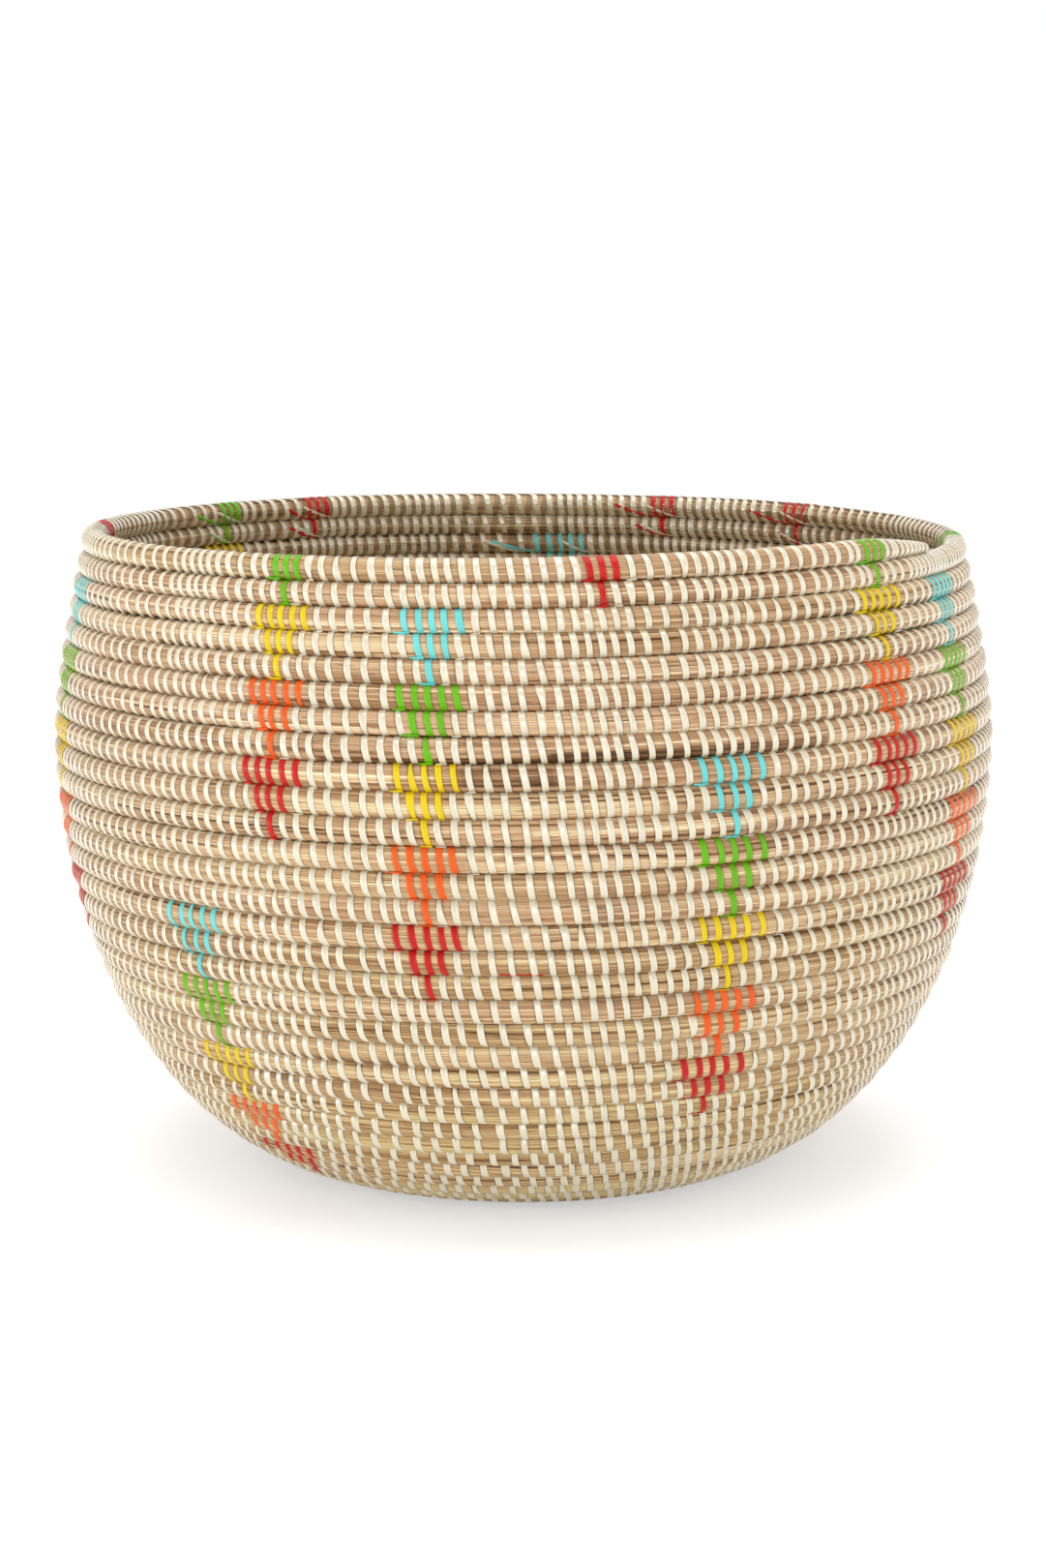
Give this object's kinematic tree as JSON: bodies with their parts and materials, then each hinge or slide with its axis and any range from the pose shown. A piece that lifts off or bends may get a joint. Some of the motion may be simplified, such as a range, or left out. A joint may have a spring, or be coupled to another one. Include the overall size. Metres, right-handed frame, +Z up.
{
  "type": "storage basket",
  "caption": "Round-bellied open storage basket, coiled from a grass bundle and bound with plastic strip in stepped colour triangles.",
  "frame": {"origin": "middle of the underside of the base, on the surface that the basket stands on", "axes": "+Z up through the open top, -Y towards the front, where the bundle ends 62 degrees round to +X"},
  "size_m": [0.413, 0.413, 0.286],
  "materials": {
    "bound_bundle": "tan grass bundle bound with cream plastic strip, matt to satin",
    "cream_strip": "soft pearly cream plastic strip",
    "turquoise_strip": "soft satin turquoise plastic strip",
    "green_strip": "soft satin green plastic strip",
    "yellow_strip": "soft satin yellow plastic strip",
    "orange_strip": "soft satin orange plastic strip",
    "red_strip": "soft satin red plastic strip"
  },
  "bodies": {
    "root": {"rim_coil": "bound_bundle", "shoulder_coil": "bound_bundle", "belly_coil": "bound_bundle", "lower_wall_coil": "bound_bundle", "heel_coil": "bound_bundle", "foot_coil": "bound_bundle", "base_coil": "bound_bundle", "left_green_strip": "green_strip", "left_yellow_strip": "yellow_strip", "left_orange_strip": "orange_strip", "left_red_strip": "red_strip", "mid_left_turquoise_strip": "turquoise_strip", "mid_left_green_strip": "green_strip", "mid_left_yellow_strip": "yellow_strip", "mid_left_orange_strip": "orange_strip", "mid_left_red_strip": "red_strip", "middle_red_strip": "red_strip", "mid_right_turquoise_strip": "turquoise_strip", "mid_right_green_strip": "green_strip", "mid_right_yellow_strip": "yellow_strip", "mid_right_orange_strip": "orange_strip", "mid_right_red_strip": "red_strip", "right_green_strip": "green_strip", "right_yellow_strip": "yellow_strip", "right_orange_strip": "orange_strip", "right_red_strip": "red_strip"}
  },
  "joints": []
}
